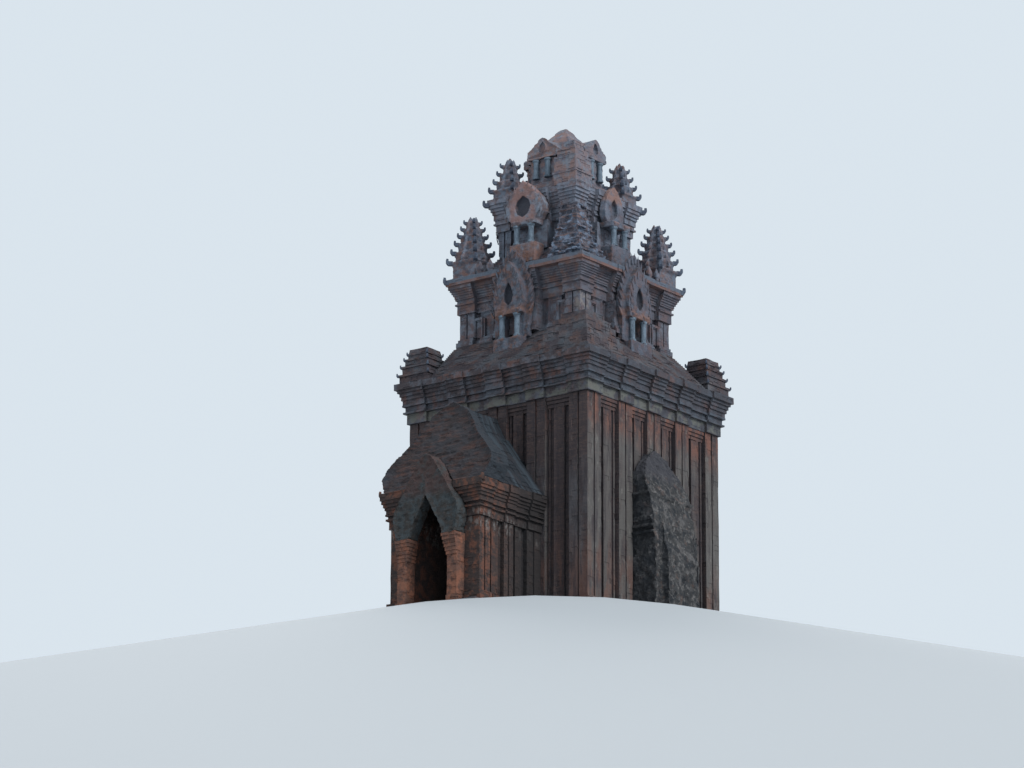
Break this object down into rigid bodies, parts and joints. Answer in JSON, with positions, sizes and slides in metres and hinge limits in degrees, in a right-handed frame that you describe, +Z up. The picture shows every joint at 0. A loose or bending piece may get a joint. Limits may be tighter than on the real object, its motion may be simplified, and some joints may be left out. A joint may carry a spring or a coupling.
{
  "type": "ruined brick temple tower with a porch",
  "caption": "Square brick temple tower with a vaulted porch, false doors, stepped upper storeys, arched niches and spiky corner turrets; worn and partly broken.",
  "frame": {"origin": "on the tower's upright axis at ground level, under the plinth", "axes": "+Z up; -Y is the front, where the porch and its doorway are; +X is the right-hand face with a false door"},
  "size_m": [16.1, 20.25, 29.6],
  "materials": {
    "brick": "fired red brick laid with hardly any mortar, matt, weathered",
    "dark_brick": "darkened fired brick, matt, sooty and weathered",
    "lichen_brick": "eroded brick under pale lichen, rough"
  },
  "bodies": {
    "root": {"plinth": "dark_brick", "wall_back": "brick", "wall_right": "brick", "wall_left": "brick", "wall_front_left": "brick", "wall_front_right": "brick", "wall_over_doorway": "brick", "main_cornice": "brick", "first_roof": "dark_brick", "broken_turret_back_left": "dark_brick", "broken_turret_back_right": "dark_brick", "broken_turret_front_left": "dark_brick", "broken_turret_front_right": "dark_brick", "second_storey": "brick", "second_cornice": "brick", "second_niche_front": "brick", "second_niche_right": "brick", "second_niche_back": "brick", "second_niche_left": "brick", "second_turret_back_left": "dark_brick", "second_turret_back_right": "dark_brick", "second_turret_front_left": "dark_brick", "third_storey": "brick", "third_cornice": "brick", "third_niche_front": "brick", "third_niche_right": "brick", "third_niche_back": "brick", "third_niche_left": "brick", "third_turret_back_left": "dark_brick", "third_turret_back_right": "dark_brick", "third_turret_front_left": "dark_brick", "broken_turret_fourth": "dark_brick", "worn_corner": "lichen_brick", "fourth_storey": "brick", "fourth_roof": "brick", "false_door_right": "lichen_brick", "false_door_back": "lichen_brick", "false_door_left": "lichen_brick", "porch_wall_right": "brick", "porch_wall_left": "brick", "porch_cornice_right": "brick", "porch_cornice_left": "brick", "porch_roof": "dark_brick", "porch_gable": "brick", "entrance_pillar_right": "brick", "entrance_pillar_left": "brick", "entrance_arch": "brick"}
  },
  "joints": []
}
